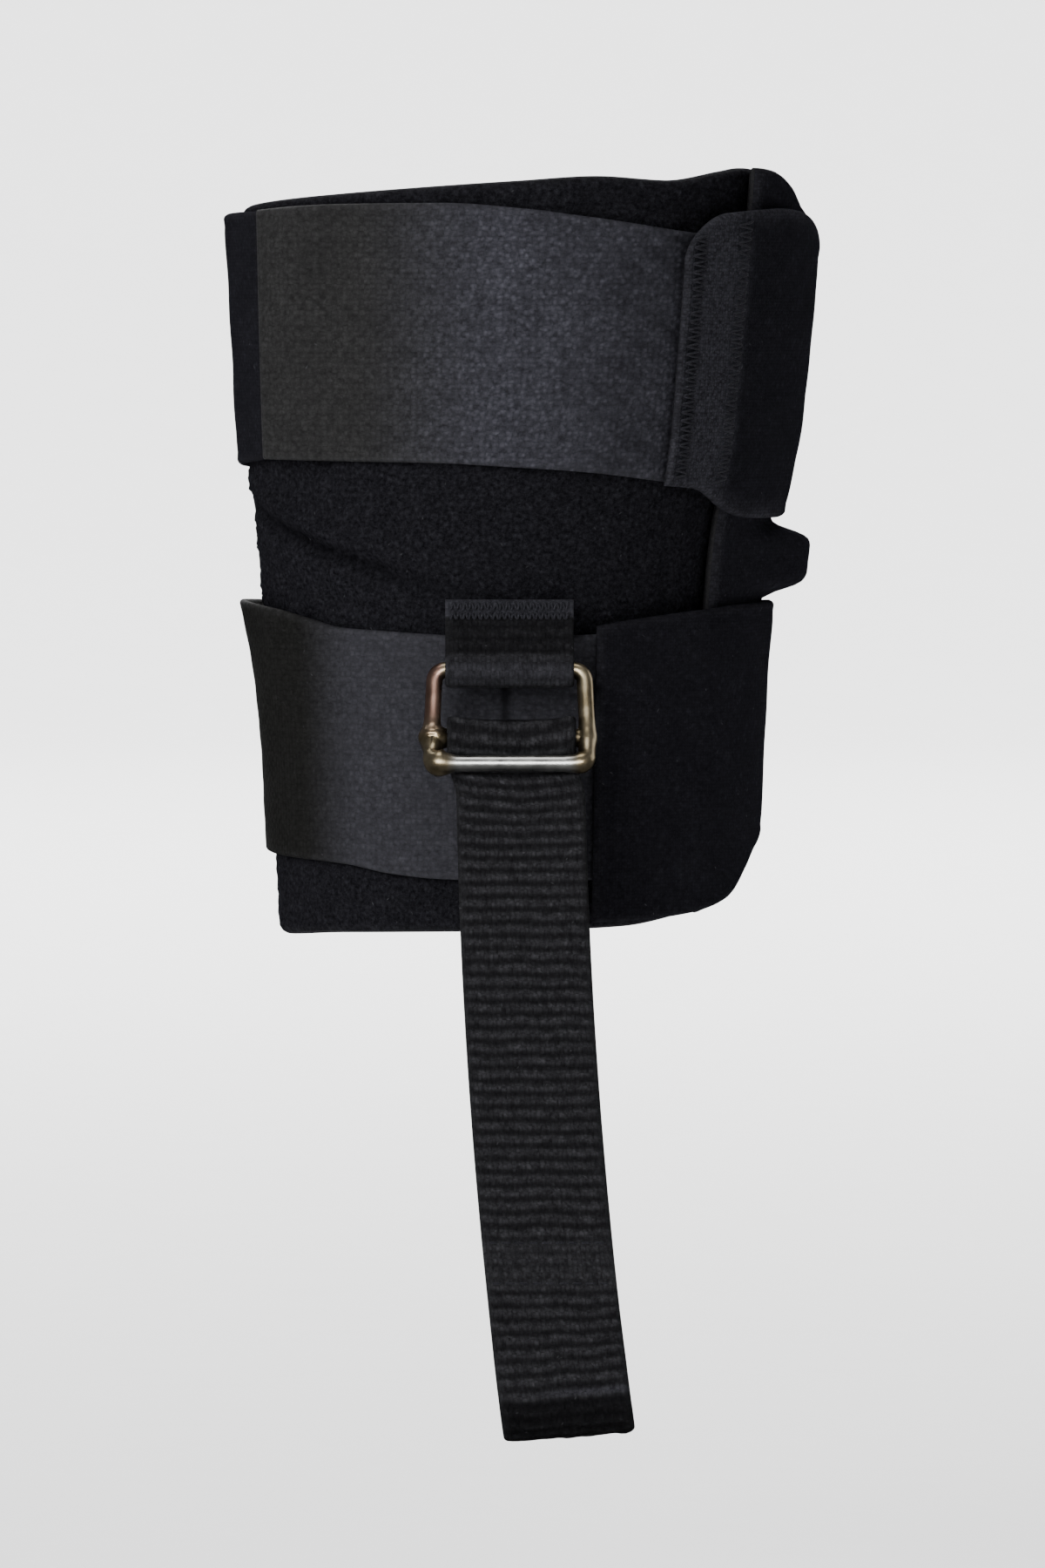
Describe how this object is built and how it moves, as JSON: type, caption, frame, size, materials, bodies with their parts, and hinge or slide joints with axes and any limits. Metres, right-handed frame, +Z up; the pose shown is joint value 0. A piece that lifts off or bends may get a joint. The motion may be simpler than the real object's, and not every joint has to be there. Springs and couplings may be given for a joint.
{
  "type": "foot drop splint",
  "caption": "Soft foot drop splint: an ankle wrap closed by elastic straps, with a webbing strap from a wire slider down to a lace loop that lifts the front of the foot.",
  "frame": {"origin": "on the leg's axis at half the height of the ankle wrap, where the splint sits on the leg", "axes": "+Z up along the lower leg, -Y forward to the toes, +X to the side where the wrap laps"},
  "size_m": [0.0927, 0.1416, 0.1896],
  "materials": {
    "pile": "loop pile",
    "elastic": "woven elastic",
    "smooth": "smooth knit",
    "webbing": "ribbed webbing",
    "wire": "warm nickel plate"
  },
  "bodies": {
    "root": {"ankle_wrap": "pile", "upper_strap": "elastic", "upper_strap_tab": "smooth", "upper_hook_tab": "smooth", "lower_strap": "elastic", "lower_strap_tab": "smooth", "lower_hook_tab": "smooth", "slider_tab": "webbing", "strap_slider": "wire", "foot_strap": "webbing"}
  },
  "joints": []
}
